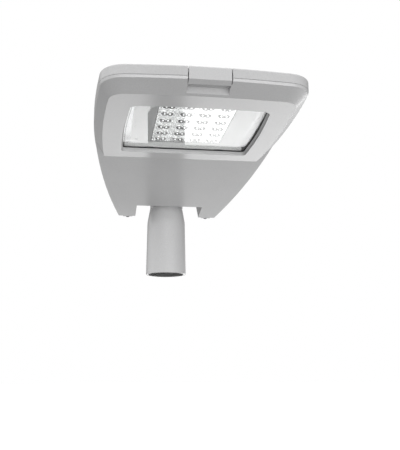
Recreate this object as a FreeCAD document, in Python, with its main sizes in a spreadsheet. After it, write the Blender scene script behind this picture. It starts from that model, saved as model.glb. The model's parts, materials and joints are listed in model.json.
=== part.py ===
import FreeCAD, Part
import math
import os
import Sketcher
from FreeCAD import Vector, Rotation, Placement

# Street light head on a post-top spigot. Millimetres, +Z up along the pole.
# Origin: centre of the spigot's mouth. The head reaches out along -Y, +X is its right.

doc = FreeCAD.newDocument("street_light_head")
dims = doc.addObject("Spreadsheet::Sheet", "dims")

ROWS = [
    # outline of the rim, seen from above
    ("rim_half", 158.0, "half width of the rim at its widest"),
    ("rim_wide_y", -400.0, "where the rim is widest"),
    ("rim_side_rad", 1760.0, "radius of the bowed sides"),
    ("rim_front_y", -618.0, "front of the rim"),
    ("rim_front_rad", 1080.0, "radius of the bowed front"),
    ("rim_corner_rad", 38.0, "front corner radius"),
    ("rim_rear_y", 48.0, "rear of the rim"),
    ("rim_rear_corner", 24.0, "rear corner radius"),
    # outline of the flat underside round the window
    ("flat_half", 144.0, "half width of the flat underside"),
    ("flat_wide_y", -397.0, "where the flat is widest"),
    ("flat_side_rad", 1650.0, "radius of its sides"),
    ("flat_front_y", -585.0, "front of the flat"),
    ("flat_front_rad", 1400.0, "radius of its front"),
    ("flat_corner_rad", 25.0, "its front corner radius"),
    # window
    ("win_half", 112.0, "half width of the window"),
    ("win_wide_y", -382.0, "where the window is widest"),
    ("win_side_rad", 1400.0, "radius of its sides"),
    ("win_front_y", -541.0, "front edge of the window"),
    ("win_front_rad", 1500.0, "radius of its front"),
    ("win_corner_rad", 13.0, "its front corner radius"),
    ("win_rear_y", -320.0, "rear edge of the window"),
    ("win_rear_corner", 9.0, "its rear corner radius"),
    # heights
    ("flat_z", 178.3, "flat underside"),
    ("floor_z", 184.8, "inside of the window plate"),
    ("rim_low_z", 189.6, "foot of the rim band"),
    ("rim_mid_z", 193.0, "where the rim band turns upright"),
    ("rim_top_z", 193.6, "top of the lower body"),
    ("cover_low_z", 194.2, "lower edge of the top cover"),
    ("cover_edge_z", 209.0, "top edge of the cover's rim"),
    ("dome_rise", 27.0, "rise of the cover above its rim"),
    ("cover_wall", 3.0, "wall of the cover's roof"),
    # rear underside
    ("rear_start_y", -288.0, "where the rear underside starts"),
    ("rear_slope", 0.19, "fall of the rear underside per mm"),
    ("rear_wall", 4.6, "floor of the rear compartment"),
    ("lug_end_y", -18.0, "rear end of the lugs' bottoms"),
    ("draft", 0.145, "lean of the side walls per mm"),
    ("body_rim", 19.0, "width of the body's rim"),
    # notch for the spigot
    ("notch_half", 69.6, "half width of the notch"),
    ("notch_y", -74.0, "front wall of the notch"),
    ("notch_roof_z", 190.0, "roof of the notch"),
    ("notch_wall", 4.4, "wall round the notch"),
    # tilt pivot
    ("pivot_z", 170.0, "tilt axis above the spigot's mouth"),
    ("ear_out", 34.6, "outer face of the spigot's ears"),
    ("ear_in", 24.0, "inner face of the ears"),
    ("ear_rad", 17.0, "radius of the ears"),
    ("rib_in", 35.0, "inner face of the body's ribs"),
    ("rib_out", 43.0, "outer face of the ribs"),
    ("rib_rad", 15.0, "radius of the ribs' ends"),
    ("bolt_rad", 6.0, "tilt bolt"),
    ("bolt_hole", 6.05, "running hole for the tilt bolt"),
    # spigot
    ("mouth_rad", 43.7, "outer radius at the mouth"),
    ("neck_rad", 41.6, "outer radius under the shoulder"),
    ("neck_z", 116.0, "height of the shoulder's start"),
    ("dome_rad", 36.0, "outer radius at the top of the shoulder"),
    ("dome_z", 147.0, "top of the shoulder"),
    ("spigot_top", 152.0, "flat top"),
    ("bore_rad", 38.5, "bore for a 76 mm pole"),
    ("bore_len", 105.0, "depth of the bore"),
    ("cable_rad", 20.0, "cable passage through the top"),
    # rear hinge of the cover
    ("hinge_y", 57.6, "hinge axis"),
    ("hinge_z", 198.3, "hinge axis"),
    ("hinge_rad", 6.0, "hinge barrels"),
    ("pin_rad", 3.0, "hinge pins"),
    ("strap_in", 76.0, "inner edge of a hinge strap"),
    ("strap_out", 96.6, "outer edge of a hinge strap"),
    ("strap_thick", 3.0, "hinge strap"),
    # latch
    ("latch_half", 29.6, "half width of the latch"),
    ("latch_gap", 31.0, "half width of the gap it sits in"),
    ("latch_y", -609.4, "latch pivot"),
    ("latch_z", 203.5, "latch pivot"),
    ("latch_pin", 2.0, "latch pin"),
    ("scoop_half", 30.0, "half width of the finger scoop"),
    ("scoop_y", -590.0, "rear wall of the scoop"),
    # glass and gasket
    ("gasket_thick", 1.8, "gasket under the glass"),
    ("glass_thick", 5.0, "glass"),
    ("glass_lap", 7.0, "how far the glass laps its frame"),
    # light engine
    ("mod_half", 60.2, "half width of the lens plate"),
    ("mod_front", -518.0, "front of the lens plate"),
    ("mod_rear", -340.0, "rear of the lens plate"),
    ("mod_gap", 0.6, "gap round the lens plate"),
    ("lens_pitch", 29.8, "lens spacing both ways"),
    ("lens_first_y", -503.5, "front row of lenses"),
    ("lens_z", 197.4, "underside of the lens plate"),
    ("lens_base", 1.4, "lens plate"),
    ("board_thick", 1.6, "circuit board"),
    ("carrier_thick", 4.0, "heat spreader"),
    ("trim_half", 95.5, "half width of the white trim"),
    ("trim_z", 195.6, "underside of the trim"),
    # gear tray
    ("tray_z", 184.0, "underside of the gear tray"),
    ("tray_thick", 1.5, "gear tray"),
    ("tray_half", 104.0, "half width of the gear tray"),
    # seal
    ("seal_in", 17.0, "inner edge of the seal groove from the rim"),
    ("seal_out", 13.0, "outer edge of the seal groove from the rim"),
    ("seal_z", 191.4, "bottom of the seal groove"),
]
for number, (alias, value, note) in enumerate(ROWS, start=1):
    dims.set("A%d" % number, alias)
    dims.set("B%d" % number, "%.6g" % value)
    dims.set("C%d" % number, note)
    dims.setAlias("B%d" % number, alias)
doc.recompute()


class Dim:
    """A size from the sheet, or a sum of such sizes, kept as its text and its number."""

    def __init__(self, text, number):
        self.text, self.number = text, float(number)

    def join(self, other, sign, back=False):
        text = other.text if isinstance(other, Dim) else "%.9g" % other
        value = other.number if isinstance(other, Dim) else float(other)
        a, b = (self, Dim("(%s)" % text if text.startswith("-") else text, value))
        if back:
            a, b = b, a
        result = {"+": a.number + b.number, "-": a.number - b.number,
                  "*": a.number * b.number, "/": a.number / b.number if sign == "/" else 0.0}[sign]
        return Dim("(%s %s %s)" % (a.text, sign, b.text), result)

    def __add__(self, other): return self.join(other, "+")
    def __radd__(self, other): return self.join(other, "+", True)
    def __sub__(self, other): return self.join(other, "-")
    def __rsub__(self, other): return self.join(other, "-", True)
    def __mul__(self, other): return self.join(other, "*")
    def __rmul__(self, other): return self.join(other, "*", True)
    def __truediv__(self, other): return self.join(other, "/")
    def __neg__(self): return self.join(-1.0, "*")


def D(alias):
    return Dim("dims." + alias, dims.get(alias))


def num(value):
    return value.number if isinstance(value, Dim) else float(value)


def put(obj, prop, value):
    """Set a size, bound to the sheet where it comes from there."""
    if not prop.startswith("Placement"):
        setattr(obj, prop, num(value))
    if isinstance(value, Dim):
        obj.setExpression(prop, value.text)


def place(obj, x, y, z, rotation=None):
    obj.Placement = Placement(Vector(num(x), num(y), num(z)), rotation or Rotation())
    for prop, value in (("Placement.Base.x", x), ("Placement.Base.y", y), ("Placement.Base.z", z)):
        put(obj, prop, value)


ALONG_X = Rotation(Vector(0, 1, 0), 90)
ALONG_Y = Rotation(Vector(1, 0, 0), -90)
SIDE = Rotation(Vector(1, 1, 1), 120)      # sketch x to Y, sketch y to Z, out of it to X
DOWN = Rotation(Vector(1, 0, 0), 180)
COUNT = [0]


def fresh(name):
    COUNT[0] += 1
    return "%s_%d" % (name, COUNT[0])


def box(x0, x1, y0, y1, z0, z1, name="block"):
    o = doc.addObject("Part::Box", fresh(name))
    put(o, "Length", x1 - x0)
    put(o, "Width", y1 - y0)
    put(o, "Height", z1 - z0)
    place(o, x0, y0, z0)
    return o


def rod(x, y, z, rad, length, rotation=None, name="rod"):
    o = doc.addObject("Part::Cylinder", fresh(name))
    put(o, "Radius", rad)
    put(o, "Height", length)
    place(o, x, y, z, rotation)
    return o


def fuse(*objs, name="fuse"):
    o = doc.addObject("Part::MultiFuse", fresh(name))
    o.Shapes = list(objs)
    return o


def common(*objs, name="common"):
    o = doc.addObject("Part::MultiCommon", fresh(name))
    o.Shapes = list(objs)
    return o


def cut(base, *tools, name="cut"):
    for tool in tools:
        o = doc.addObject("Part::Cut", fresh(name))
        o.Base, o.Tool = base, tool
        base = o
    return base


def group(objs, name="group"):
    o = doc.addObject("Part::Compound", fresh(name))
    o.Links = list(objs)
    return o


NODES = []


def node(obj, label):
    obj.Label = label
    NODES.append(obj)
    return obj


# ---------------------------------------------------------------- sketches

def family(prefix):
    return {key: D("%s_%s" % (prefix, key)) for key in
            ("half", "wide_y", "side_rad", "front_y", "front_rad", "corner_rad")}


RIM, FLAT, WIN = family("rim"), family("flat"), family("win")


def outline(z, fam, off, rear, rear_rad, name="outline"):
    """Closed level outline: bowed front and sides, round corners, straight rear.
    off moves its front and sides inward; rear and rear_rad are the rear line and its corners."""
    W, YW, RS = num(fam["half"]), num(fam["wide_y"]), num(fam["side_rad"])
    YF, RF, RC = num(fam["front_y"]), num(fam["front_rad"]), num(fam["corner_rad"])
    o_, yr, rr = num(off), num(rear), num(rear_rad)
    fy, sx = YF + RF, W - RS                       # centres: front (0, fy), right side (sx, YW)
    a, b = RF - RC, RS - RC
    dx, dy = sx, YW - fy
    d = math.hypot(dx, dy)
    t = (a * a - b * b + d * d) / (2 * d)
    h = math.sqrt(max(a * a - t * t, 0.0))
    mx, my = t * dx / d, fy + t * dy / d
    cands = [(mx + h * dy / d, my - h * dx / d), (mx - h * dy / d, my + h * dx / d)]
    cx, cy = max(cands)
    qy = yr - rr
    qx = sx + math.sqrt((RS - o_ - rr) ** 2 - (qy - YW) ** 2)
    a1 = math.atan2(cy - fy, cx)
    a2 = math.atan2(cy - YW, cx - sx)
    a3 = math.atan2(qy - YW, qx - sx)
    pi = math.pi
    up = Vector(0, 0, 1)

    def arc(x, y, r, s, e):
        return Part.ArcOfCircle(Part.Circle(Vector(x, y, 0), up, r), s, e)

    sk = doc.addObject("Sketcher::SketchObject", fresh(name))
    place(sk, 0, 0, z)
    sk.addGeometry([
        arc(0, fy, RF - o_, -pi - a1, a1),                 # 0 front
        arc(cx, cy, RC - o_, a1, a2),                      # 1 right front corner
        arc(sx, YW, RS - o_, a2, a3),                      # 2 right side
        arc(qx, qy, rr, a3, pi / 2),                       # 3 right rear corner
        Part.LineSegment(Vector(qx, yr, 0), Vector(-qx, yr, 0)),   # 4 rear
        arc(-qx, qy, rr, pi / 2, pi - a3),                 # 5 left rear corner
        arc(-sx, YW, RS - o_, pi - a3, pi - a2),           # 6 left side
        arc(-cx, cy, RC - o_, pi - a2, pi - a1),           # 7 left front corner
    ], False)
    C = Sketcher.Constraint
    cons = [C("Tangent", i, 2, (i + 1) % 8, 1) for i in range(8)]
    cons += [C("PointOnObject", 0, 3, -2), C("Symmetric", 2, 3, 6, 3, -2),
             C("Equal", 2, 6), C("Equal", 1, 7), C("Equal", 3, 5), C("Horizontal", 4)]
    bound = [
        (C("DistanceY", -1, 1, 0, 3, fy), fam["front_y"] + fam["front_rad"]),
        (C("Radius", 0, RF - o_), fam["front_rad"] - off),
        (C("DistanceX", -1, 1, 2, 3, sx), fam["half"] - fam["side_rad"]),
        (C("DistanceY", -1, 1, 2, 3, YW), fam["wide_y"]),
        (C("Radius", 2, RS - o_), fam["side_rad"] - off),
        (C("Radius", 1, RC - o_), fam["corner_rad"] - off),
        (C("Radius", 3, rr), rear_rad),
        (C("DistanceY", -1, 1, 4, 1, yr), rear),
    ]
    first = len(cons)
    sk.addConstraint(cons + [c for c, _ in bound])
    for i, (_, value) in enumerate(bound):
        if isinstance(value, Dim):
            sk.setExpression("Constraints[%d]" % (first + i), value.text)
    return sk


def rim_outline(z, off, name="outline"):
    """The rim's outline, moved inward by off all round."""
    rad = D("rim_rear_corner") - off
    if num(rad) < 4.0:
        rad = 4.0
    return outline(z, RIM, off, D("rim_rear_y") - off, rad, name)


def prism(sk, height, name="prism"):
    o = doc.addObject("Part::Extrusion", fresh(name))
    o.Base = sk
    o.DirMode = "Custom"
    o.Dir = sk.Placement.Rotation.multVec(Vector(0, 0, 1))
    put(o, "LengthFwd", height)
    o.Solid = True
    return o


def loft(*sks, name="loft"):
    o = doc.addObject("Part::Loft", fresh(name))
    o.Sections = list(sks)
    o.Solid = True
    o.Ruled = True
    return o


def polygon(points, x, y, z, rotation=None, name="polygon"):
    """Closed sketch of straight lines; each corner's place is bound to the sheet."""
    sk = doc.addObject("Sketcher::SketchObject", fresh(name))
    place(sk, x, y, z, rotation)
    pts = [Vector(num(u), num(v), 0) for u, v in points]
    n = len(pts)
    sk.addGeometry([Part.LineSegment(pts[i], pts[(i + 1) % n]) for i in range(n)], False)
    C = Sketcher.Constraint
    cons = [C("Coincident", i, 2, (i + 1) % n, 1) for i in range(n)]
    bound = []
    for i, (u, v) in enumerate(points):
        for kind, value, axis in (("DistanceX", u, -2), ("DistanceY", v, -1)):
            if abs(num(value)) < 1e-9:
                cons.append(C("PointOnObject", i, 1, axis))
            else:
                bound.append((C(kind, -1, 1, i, 1, num(value)), value))
    first = len(cons)
    sk.addConstraint(cons + [c for c, _ in bound])
    for i, (_, value) in enumerate(bound):
        if isinstance(value, Dim):
            sk.setExpression("Constraints[%d]" % (first + i), value.text)
    return sk


def side_slab(points, x0, x1, name="slab"):
    """Solid of a side profile (Y, Z) between two X planes."""
    return prism(polygon(points, x0, 0, 0, SIDE, name + "_profile"), x1 - x0, name)


def screw(x, y, z, rotation, head_rad, head_len, shank_rad, shank_len, socket_rad, sides=6):
    """Head outward along the rotated +Z from the seat, shank the other way.
    Gives the screw and the shank, which also bores its hole."""
    frame = Placement(Vector(num(x), num(y), num(z)), rotation or Rotation())
    turned = frame.Rotation.multVec

    def at(dist):
        v = turned(Vector(0, 0, dist))
        return x + v.x, y + v.y, z + v.z

    head = rod(*at(0), head_rad, head_len, frame.Rotation, "head")
    sx, sy, sz = at(-shank_len)
    shank = rod(sx, sy, sz, shank_rad, shank_len, frame.Rotation, "shank")
    socket = doc.addObject("Part::Prism", fresh("socket"))
    socket.Polygon = sides
    socket.Circumradius = socket_rad
    socket.Height = head_len
    place(socket, *at(head_len * 0.4), frame.Rotation)
    return cut(fuse(head, shank), socket, name="screw"), shank


def screws(label, places, rotation, head_rad, head_len, shank_rad, shank_len, socket_rad):
    made = [screw(x, y, z, rotation, head_rad, head_len, shank_rad, shank_len, socket_rad)
            for x, y, z in places]
    node(group([m[0] for m in made]), label)
    return group([m[1] for m in made], "shanks")


def rear_z(y, lift=0.0):
    """Height of the sloping rear underside at y."""
    return D("flat_z") - (y - D("rear_start_y")) * D("rear_slope") + lift


# ---------------------------------------------------------------- spigot

body = doc.addObject("PartDesign::Body", "spigot")


def plane(of, role):
    return [f for f in of.Origin.OriginFeatures if f.Role == role][0]


def body_sketch(of, role, points, name, rings=()):
    """Sketch on one of the body's own planes: straight outline and full circles."""
    sk = of.newObject("Sketcher::SketchObject", fresh(name))
    sk.AttachmentSupport = [(plane(of, role), "")]
    sk.MapMode = "FlatFace"
    C = Sketcher.Constraint
    n = len(points)
    if n:
        pts = [Vector(num(u), num(v), 0) for u, v in points]
        sk.addGeometry([Part.LineSegment(pts[i], pts[(i + 1) % n]) for i in range(n)], False)
    cons = [C("Coincident", i, 2, (i + 1) % n, 1) for i in range(n)]
    bound = []
    for i, (u, v) in enumerate(points):
        for kind, value, axis in (("DistanceX", u, -2), ("DistanceY", v, -1)):
            if abs(num(value)) < 1e-9:
                cons.append(C("PointOnObject", i, 1, axis))
            else:
                bound.append((C(kind, -1, 1, i, 1, num(value)), value))
    for k, (u, v, r) in enumerate(rings):
        g = n + k
        sk.addGeometry(Part.Circle(Vector(num(u), num(v), 0), Vector(0, 0, 1), num(r)), False)
        bound.append((C("Radius", g, num(r)), r))
        for kind, value, axis in (("DistanceX", u, -2), ("DistanceY", v, -1)):
            if abs(num(value)) < 1e-9:
                cons.append(C("PointOnObject", g, 3, axis))
            else:
                bound.append((C(kind, -1, 1, g, 3, num(value)), value))
    first = len(cons)
    sk.addConstraint(cons + [c for c, _ in bound])
    for i, (_, value) in enumerate(bound):
        if isinstance(value, Dim):
            sk.setExpression("Constraints[%d]" % (first + i), value.text)
    return sk


def ear_sketch(name, low, rad):
    """Ear's side profile: upright sides, half round over the pivot."""
    sk = body.newObject("Sketcher::SketchObject", fresh(name))
    sk.AttachmentSupport = [(plane(body, "YZ_Plane"), "")]
    sk.MapMode = "FlatFace"
    r, z0, zp = num(rad), num(low), D("pivot_z").number
    sk.addGeometry([
        Part.LineSegment(Vector(-r, z0, 0), Vector(r, z0, 0)),
        Part.LineSegment(Vector(r, z0, 0), Vector(r, zp, 0)),
        Part.ArcOfCircle(Part.Circle(Vector(0, zp, 0), Vector(0, 0, 1), r), 0, math.pi),
        Part.LineSegment(Vector(-r, zp, 0), Vector(-r, z0, 0))], False)
    C = Sketcher.Constraint
    sk.addConstraint([
        C("Coincident", 0, 2, 1, 1), C("Tangent", 1, 2, 2, 1), C("Tangent", 2, 2, 3, 1),
        C("Coincident", 3, 2, 0, 1), C("Horizontal", 0), C("Vertical", 1), C("Vertical", 3),
        C("PointOnObject", 2, 3, -2), C("DistanceY", -1, 1, 2, 3, zp),
        C("Radius", 2, r), C("DistanceY", -1, 1, 0, 1, z0)])
    sk.setExpression("Constraints[8]", "dims.pivot_z")
    sk.setExpression("Constraints[9]", rad.text)
    return sk


def pad(of, sk, length, symmetric, kind="PartDesign::Pad", name="pad"):
    f = of.newObject(kind, fresh(name))
    f.Profile = sk
    put(f, "Length", length)
    if symmetric:
        if hasattr(f, "SideType"):
            f.SideType = "Symmetric"
        else:
            f.Midplane = True
    return f


# turned sleeve: bore open below, shoulder, cable passage
turn = body_sketch(body, "XZ_Plane", [
    (D("bore_rad"), 0), (D("mouth_rad") - 0.8, 0), (D("mouth_rad"), 0.8),
    (D("neck_rad"), D("neck_z")), (D("dome_rad"), D("dome_z")), (D("dome_rad") - 4, D("spigot_top")),
    (D("cable_rad"), D("spigot_top")), (D("cable_rad"), D("bore_len")), (D("bore_rad"), D("bore_len")),
], "turn")
sleeve = body.newObject("PartDesign::Revolution", "sleeve")
sleeve.Profile = turn
sleeve.ReferenceAxis = (turn, ["V_Axis"])
sleeve.Angle = 360.0
doc.recompute()
edge_names = []
for i, e in enumerate(sleeve.Shape.Edges, start=1):
    if isinstance(e.Curve, Part.Circle):
        if abs(e.Curve.Center.z - D("neck_z").number) < 0.01 and e.Curve.Radius > 40:
            edge_names.append("Edge%d" % i)
shoulder = body.newObject("PartDesign::Fillet", "shoulder")
shoulder.Base = (sleeve, edge_names)
shoulder.Radius = 60.0
doc.recompute()
ears = pad(body, ear_sketch("ear", 145.0, D("ear_rad")), D("ear_out") * 2, True, name="ears")
doc.recompute()
slot_sketch = body_sketch(body, "YZ_Plane", [(-40, D("spigot_top")), (40, D("spigot_top")),
                                             (40, 200), (-40, 200)], "between")
between = pad(body, slot_sketch, D("ear_in") * 2, True, "PartDesign::Pocket", "between")
doc.recompute()
passage_sketch = body_sketch(body, "XY_Plane", [], "passage", [(0, 0, D("cable_rad"))])
passage = pad(body, passage_sketch, 400.0, True, "PartDesign::Pocket", "passage")
doc.recompute()
bolt_sketch = body_sketch(body, "YZ_Plane", [], "bolt", [(0, D("pivot_z"), D("bolt_hole"))])
bolt_pocket = pad(body, bolt_sketch, 120.0, True, "PartDesign::Pocket", "bolt_hole")
body.Tip = bolt_pocket
doc.recompute()

# two set screws through the rear of the sleeve
grub_parts, grub_holes = [], []
for z in (30.0, 78.0):
    hole = rod(0, D("bore_rad") - 2, z, 4.0, 8.0, ALONG_Y, "grub_hole")
    pin = rod(0, D("bore_rad") + 0.25, z, 4.0, 7.6, ALONG_Y, "grub")
    hexagon = doc.addObject("Part::Prism", fresh("hexagon"))
    hexagon.Polygon = 6
    hexagon.Circumradius = 2.3
    hexagon.Height = 4.0
    place(hexagon, 0, D("bore_rad") + 4.6, z, ALONG_Y)
    grub_parts.append(cut(pin, hexagon))
    grub_holes.append(hole)
node(cut(body, group(grub_holes)), "spigot_sleeve")
node(group(grub_parts), "grub_screws")

# ---------------------------------------------------------------- lower body

slope_foot = outline(D("rim_low_z"), RIM, 1.1, D("rim_rear_y") - 3.4, D("rim_rear_corner") - 3.4)
plateau = loft(
    outline(D("flat_z"), FLAT, 0.0, -250.0, 5.0),
    outline(D("rim_low_z"), RIM, 1.1, -250.0, 5.0), name="plateau")
band = fuse(
    loft(slope_foot, rim_outline(D("rim_mid_z"), 0.0), name="band_lean"),
    prism(rim_outline(D("rim_mid_z"), 0.0), D("rim_top_z") - D("rim_mid_z"), "band_upright"))
deep_z = 118.0
drafted = loft(
    rim_outline(D("rim_top_z"), 0.6),
    rim_outline(deep_z, D("draft") * (D("rim_top_z") - deep_z) + 0.6), name="drafted")
lug_z = rear_z(D("lug_end_y"))
top_y = D("rear_start_y") - (D("rim_top_z") - D("flat_z")) / D("rear_slope")
wedge = side_slab([
    (top_y, D("rim_top_z")), (D("lug_end_y"), lug_z),
    (D("lug_end_y") + (D("rim_top_z") - lug_z), D("rim_top_z"))], -175.0, 175.0, "wedge")
outer = fuse(plateau, band, common(drafted, wedge, name="rear_block"), name="body_outer")

notch = box(-D("notch_half"), D("notch_half"), D("notch_y"), 80.0, 100.0, D("notch_roof_z"), "notch")

# inside, open above
inner_top = 210.0
front_room = cut(
    prism(outline(D("floor_z"), RIM, D("body_rim"), -292.0, 3.0), inner_top - D("floor_z"), "front_room"),
    box(-34.0, 34.0, -610.0, D("scoop_y") + 4.0, 150.0, D("rim_top_z"), "scoop_wall"))
back_y = D("lug_end_y") - 7.0
back_low = rear_z(back_y, D("rear_wall"))
room_profile = side_slab([
    (-300.0, rear_z(-300.0, D("rear_wall"))), (back_y, back_low),
    (back_y + (inner_top - back_low), inner_top), (-300.0, inner_top)], -175.0, 175.0, "room_profile")
rear_room = cut(
    common(prism(rim_outline(110.0, D("body_rim")), 110.0, "room_outline"), room_profile, name="rear_room"),
    box(-(D("notch_half") + D("notch_wall")), D("notch_half") + D("notch_wall"),
        D("notch_y") - D("notch_wall"), 90.0, 90.0, D("rim_top_z"), "notch_walls"))

# window through the plate: upright below, leaning inward above
hole_low = prism(outline(D("flat_z") - 5, WIN, 0.0, D("win_rear_y"), D("win_rear_corner")), 9.0, "window_low")
hole_high = loft(
    outline(D("flat_z") + 4, WIN, 0.0, D("win_rear_y"), D("win_rear_corner")),
    outline(D("floor_z"), WIN, 2.5, D("win_rear_y") - 2.5, D("win_rear_corner") - 2.5), name="window_high")
hole_top = prism(outline(D("floor_z"), WIN, 2.5, D("win_rear_y") - 2.5, D("win_rear_corner") - 2.5), 3.0)

groove = cut(
    prism(rim_outline(D("seal_z"), D("seal_out")), 6.0, "groove_outer"),
    prism(rim_outline(D("seal_z") - 1, D("seal_in")), 8.0, "groove_inner"))

# finger scoop in the front slope, seat of the latch, gap for its tooth
scoop = box(-D("scoop_half"), D("scoop_half"), -640.0, D("scoop_y"), 150.0, 190.0, "scoop")
latch_seat = box(-D("latch_gap"), D("latch_gap"), -640.0, -607.3, 150.0, 210.0, "latch_seat")
tooth_gap = box(-13.0, 13.0, -640.0, -606.6, 150.0, 210.0, "tooth_gap")

shell = cut(outer, fuse(front_room, rear_room), notch, fuse(hole_low, hole_high, hole_top), groove,
            fuse(scoop, latch_seat, tooth_gap), name="body_shell")

adds = []
for s in (-1, 1):
    x0 = D("rib_in") if s > 0 else -D("rib_out")
    adds.append(box(x0, x0 + (D("rib_out") - D("rib_in")), -D("rib_rad"), D("rib_rad"),
                    D("pivot_z"), D("notch_roof_z") + 1, "rib"))
    adds.append(rod(x0, 0, D("pivot_z"), D("rib_rad"), D("rib_out") - D("rib_in"), ALONG_X, "rib_end"))

# bosses: glass clips, heat spreader, gear tray
clip_z = D("floor_z") + D("gasket_thick") + D("glass_thick")
CLIPS = [(s * 128.5, y) for s in (-1, 1) for y in (-385.0, -470.0)] + [(s * 62.0, y) for s in (-1, 1) for y in (-303.5, -556.5)]
carrier_z = D("lens_z") + D("lens_base") + 0.2 + D("board_thick")
POSTS = [(s * 130.5, y) for s in (-1, 1) for y in (-330.0, -428.0)] + [(s * 124.0, -528.0) for s in (-1, 1)] + [(0.0, -570.0)]
TRAY_POSTS = [(s * 96.0, -276.0) for s in (-1, 1)] + [(s * 88.0, -102.0) for s in (-1, 1)]
for x, y in CLIPS:
    adds.append(rod(x, y, D("floor_z") - 1, 5.0, clip_z - D("floor_z") + 1, name="clip_boss"))
for x, y in POSTS:
    adds.append(rod(x, y, D("floor_z") - 1, 5.0, carrier_z - D("floor_z") + 1, name="post"))
for x, y in TRAY_POSTS:
    foot = rear_z(y, 2.0)
    adds.append(rod(x, y, foot, 5.5, D("tray_z") - foot, name="tray_post"))
bolt_bore = rod(-60.0, 0, D("pivot_z"), D("bolt_hole"), 120.0, ALONG_X, "bolt_bore")
GROMMET = (0.0, -46.0)
VENT = (56.0, -36.0)
holes = [
    rod(GROMMET[0], GROMMET[1], 180.0, 11.0, 30.0, name="cable_hole"),
    rod(VENT[0], VENT[1], 180.0, 5.0, 30.0, name="vent_hole"),
]

# ---------------------------------------------------------------- glass

seat_z = D("floor_z")
glass_z = seat_z + D("gasket_thick")
lap = D("glass_lap")


def window_prism(z, grow, height, name):
    """Window's outline, moved outward by grow."""
    return prism(outline(z, WIN, -grow, D("win_rear_y") + grow, D("win_rear_corner") + grow), height, name)


glass = window_prism(glass_z, lap, D("glass_thick"), "glass")
node(glass, "window_glass")
gasket = cut(
    fuse(window_prism(seat_z, lap + 1.8, D("gasket_thick"), "gasket_pad"),
         cut(window_prism(glass_z, lap + 1.8, D("glass_thick") - 0.4, "gasket_edge"),
             window_prism(glass_z - 1, lap, D("glass_thick") + 2, "gasket_inside"))),
    prism(outline(seat_z - 1, WIN, 1.6, D("win_rear_y") - 1.6, D("win_rear_corner") - 1.6), 20.0, "gasket_hole"))
node(gasket, "window_gasket")

clips, clip_places = [], []
for x, y in CLIPS:
    if abs(x) > 100:
        s = 1 if x > 0 else -1
        inner = x - s * 16.0
        clips.append(box(min(x + s * 6, inner), max(x + s * 6, inner), y - 7, y + 7, clip_z, clip_z + 1.5, "clip"))
    else:
        s = 1 if y > -400 else -1
        inner = y - s * 16.0
        clips.append(box(x - 7, x + 7, min(y + s * 6, inner), max(y + s * 6, inner), clip_z, clip_z + 1.5, "clip"))
    clip_places.append((x, y, clip_z + 1.5))
clip_shanks = screws("clip_screws", clip_places, None, 3.6, 2.4, 2.0, 8.0, 1.7)
node(cut(group(clips), clip_shanks), "glass_clips")

# ---------------------------------------------------------------- light engine

spread = prism(outline(carrier_z, RIM, 22.0, -294.0, 4.0), D("carrier_thick"), "spreader")
fins = [box(x - 1.0, x + 1.0, -515.0, -316.0, carrier_z + D("carrier_thick") - 0.5,
            carrier_z + D("carrier_thick") + 6.5, "fin") for x in [-54.0 + 12.0 * i for i in range(10)]]
post_shanks = screws("carrier_screws", [(x, y, carrier_z + D("carrier_thick")) for x, y in POSTS],
                     None, 3.6, 2.2, 2.0, 12.0, 1.7)
TRIM_SCREWS = [(s * 86.0, y) for s in (-1, 1) for y in (-508.0, -350.0)]
trim_top = carrier_z
trim_shanks = screws("trim_screws", [(x, y, D("trim_z")) for x, y in TRIM_SCREWS], DOWN, 2.6, 1.4, 1.5, 6.5, 1.2)
carrier = cut(fuse(spread, *fins), post_shanks, trim_shanks)
node(carrier, "led_heat_spreader")

lens_top = D("lens_z") + D("lens_base")
board_z = lens_top + 0.2
board = box(-D("mod_half"), D("mod_half"), D("mod_front"), D("mod_rear"), board_z, board_z + D("board_thick"), "board")
node(board, "led_board")
pitch = D("lens_pitch")
cells = [((i - 1.5) * pitch, D("lens_first_y") + j * pitch) for i in range(4) for j in range(6)]
chips = [box(x - 1.7, x + 1.7, y - 1.7, y + 1.7, board_z - 0.7, board_z, "chip") for x, y in cells]
node(group(chips), "led_chips")
lobes = []
for x, y in cells:
    for s in (-1, 1):
        e = doc.addObject("Part::Ellipsoid", fresh("lobe"))
        e.Radius1, e.Radius2, e.Radius3 = 4.7, 5.6, 4.2
        place(e, x + s * 4.2, y, D("lens_z") + 0.3)
        lobes.append(e)
plate = box(-D("mod_half"), D("mod_half"), D("mod_front"), D("mod_rear"), D("lens_z"), lens_top, "lens_base")
lobe_box = box(-D("mod_half"), D("mod_half"), D("mod_front"), D("mod_rear"), D("lens_z") - 5.0, lens_top, "lobe_box")
pockets = [box(x - 2.2, x + 2.2, y - 2.2, y + 2.2, board_z - 1.0, board_z + 5, "pocket") for x, y in cells]
lens = cut(fuse(plate, common(fuse(*lobes), lobe_box)), group(pockets))
node(lens, "lens_plate")

# white trim: shallow tray round the lens plate, open above
trim_front = -531.0


def rounded(half, y0, y1, rad, z, height, name):
    o = prism(polygon([(-half, y0), (half, y0), (half, y1), (-half, y1)], 0, 0, z, None, name), height, name)
    doc.recompute()
    f = doc.addObject("Part::Fillet", fresh(name))
    f.Base = o
    up = [i for i, e in enumerate(o.Shape.Edges, start=1)
          if abs(e.Vertexes[0].Point.z - e.Vertexes[-1].Point.z) > 0.5]
    f.Edges = [(i, rad, rad) for i in up]
    return f


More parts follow.
